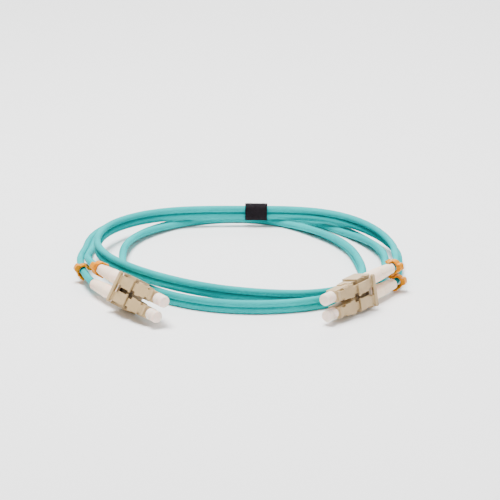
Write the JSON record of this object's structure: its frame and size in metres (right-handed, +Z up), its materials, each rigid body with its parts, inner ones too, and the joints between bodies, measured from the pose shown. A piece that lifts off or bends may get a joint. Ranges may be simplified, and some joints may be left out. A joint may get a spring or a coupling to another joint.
{
  "type": "duplex fibre optic patch cord",
  "caption": "Coiled duplex fibre optic patch cord in an aqua jacket, with a clipped pair of latching plugs, ribbed boots, dust caps and orange marker rings at each end.",
  "frame": {"origin": "middle of the space that the plugs, marker rings and tie take up, on the surface the cord lies on; the coil's centre is 10 mm behind it", "axes": "+Z up from the surface the coil lies on, -Y towards the side where both pairs of plugs lie, +X to the right seen from there"},
  "size_m": [0.1302, 0.15, 0.0153],
  "materials": {
    "jacket": "smooth flexible jacket, satin",
    "tie": "black hook-and-loop strip",
    "marker": "moulded ring, light gloss",
    "beige": "moulded housing plastic, satin",
    "beige_dark": "moulded plastic, satin",
    "ceramic": "polished white ceramic",
    "metal": "turned and drawn metal",
    "boot": "soft moulded boot, matt",
    "cap": "soft moulded cap, matt",
    "fibre": "buffer coating"
  },
  "bodies": {
    "cord": {"coil": "jacket", "tie_band": "tie", "left_a_leg": "jacket", "left_b_leg": "jacket", "right_a_leg": "jacket", "right_b_leg": "jacket", "left_a_marker": "marker", "left_b_marker": "marker", "right_a_marker": "marker", "right_b_marker": "marker", "left_clip": "beige", "right_clip": "beige", "left_a_housing": "beige", "left_b_housing": "beige", "right_a_housing": "beige", "right_b_housing": "beige", "left_a_rear_body": "beige_dark", "left_b_rear_body": "beige_dark", "right_a_rear_body": "beige_dark", "right_b_rear_body": "beige_dark", "left_a_spring": "metal", "left_b_spring": "metal", "right_a_spring": "metal", "right_b_spring": "metal", "left_a_crimp_sleeve": "metal", "left_b_crimp_sleeve": "metal", "right_a_crimp_sleeve": "metal", "right_b_crimp_sleeve": "metal", "left_a_boot": "boot", "left_b_boot": "boot", "right_a_boot": "boot", "right_b_boot": "boot"},
    "left_trigger": {"left_trigger": "beige"},
    "left_a_latch": {"left_a_latch": "beige"},
    "left_a_ferrule": {"left_a_ferrule": "ceramic", "left_a_flange": "metal", "left_a_fibre": "fibre"},
    "left_a_dust_cap": {"left_a_dust_cap": "cap"},
    "left_b_latch": {"left_b_latch": "beige"},
    "left_b_ferrule": {"left_b_ferrule": "ceramic", "left_b_flange": "metal", "left_b_fibre": "fibre"},
    "left_b_dust_cap": {"left_b_dust_cap": "cap"},
    "right_trigger": {"right_trigger": "beige"},
    "right_a_latch": {"right_a_latch": "beige"},
    "right_a_ferrule": {"right_a_ferrule": "ceramic", "right_a_flange": "metal", "right_a_fibre": "fibre"},
    "right_a_dust_cap": {"right_a_dust_cap": "cap"},
    "right_b_latch": {"right_b_latch": "beige"},
    "right_b_ferrule": {"right_b_ferrule": "ceramic", "right_b_flange": "metal", "right_b_fibre": "fibre"},
    "right_b_dust_cap": {"right_b_dust_cap": "cap"}
  },
  "joints": [
    {"name": "left_trigger_hinge", "type": "hinge", "parent": "cord", "child": "left_trigger", "pos_m": [-0.04593, -0.04424, 0.00898], "axis": [0.4319, 0.2805, 0.8572], "range_deg": [0, 7], "stiffness_Nm_per_rad": 0.02},
    {"name": "left_a_latch_hinge", "type": "hinge", "parent": "cord", "child": "left_a_latch", "pos_m": [-0.03354, -0.0589, 0.01118], "axis": [-0.4319, -0.2805, -0.8572], "range_deg": [0, 6.5]},
    {"name": "left_a_ferrule_slide", "type": "slide", "parent": "cord", "child": "left_a_ferrule", "axis": [0.5446, -0.8387, 0], "range_m": [-0.0008, 0], "stiffness_N_per_m": 1000, "deforming": ["left_a_spring"]},
    {"name": "left_a_dust_cap_slide", "type": "slide", "parent": "cord", "child": "left_a_dust_cap", "axis": [0.5446, -0.8387, 0], "range_m": [0, 0.012]},
    {"name": "left_b_latch_hinge", "type": "hinge", "parent": "cord", "child": "left_b_latch", "pos_m": [-0.03624, -0.06065, 0.00582], "axis": [-0.4319, -0.2805, -0.8572], "range_deg": [0, 6.5]},
    {"name": "left_b_ferrule_slide", "type": "slide", "parent": "cord", "child": "left_b_ferrule", "axis": [0.5446, -0.8387, 0], "range_m": [-0.0008, 0], "stiffness_N_per_m": 1000, "deforming": ["left_b_spring"]},
    {"name": "left_b_dust_cap_slide", "type": "slide", "parent": "cord", "child": "left_b_dust_cap", "axis": [0.5446, -0.8387, 0], "range_m": [0, 0.012]},
    {"name": "right_trigger_hinge", "type": "hinge", "parent": "cord", "child": "right_trigger", "pos_m": [0.04983, -0.04249, 0.00741], "axis": [0.1431, -0.0984, -0.9848], "range_deg": [0, 7], "stiffness_Nm_per_rad": 0.02},
    {"name": "right_a_latch_hinge", "type": "hinge", "parent": "cord", "child": "right_a_latch", "pos_m": [0.03784, -0.05735, 0.01033], "axis": [-0.1431, 0.0984, 0.9848], "range_deg": [0, 6.5]},
    {"name": "right_a_ferrule_slide", "type": "slide", "parent": "cord", "child": "right_a_ferrule", "axis": [-0.5664, -0.8241, 0], "range_m": [-0.0008, 0], "stiffness_N_per_m": 1000, "deforming": ["right_a_spring"]},
    {"name": "right_a_dust_cap_slide", "type": "slide", "parent": "cord", "child": "right_a_dust_cap", "axis": [-0.5664, -0.8241, 0], "range_m": [0, 0.012]},
    {"name": "right_b_latch_hinge", "type": "hinge", "parent": "cord", "child": "right_b_latch", "pos_m": [0.03873, -0.05796, 0.00417], "axis": [-0.1431, 0.0984, 0.9848], "range_deg": [0, 6.5]},
    {"name": "right_b_ferrule_slide", "type": "slide", "parent": "cord", "child": "right_b_ferrule", "axis": [-0.5664, -0.8241, 0], "range_m": [-0.0008, 0], "stiffness_N_per_m": 1000, "deforming": ["right_b_spring"]},
    {"name": "right_b_dust_cap_slide", "type": "slide", "parent": "cord", "child": "right_b_dust_cap", "axis": [-0.5664, -0.8241, 0], "range_m": [0, 0.012]}
  ],
  "couplings": [
    {"joint": "left_a_latch_hinge", "follows": "left_trigger_hinge", "ratio": 0.9},
    {"joint": "left_b_latch_hinge", "follows": "left_trigger_hinge", "ratio": 0.9},
    {"joint": "right_a_latch_hinge", "follows": "right_trigger_hinge", "ratio": 0.9},
    {"joint": "right_b_latch_hinge", "follows": "right_trigger_hinge", "ratio": 0.9}
  ]
}
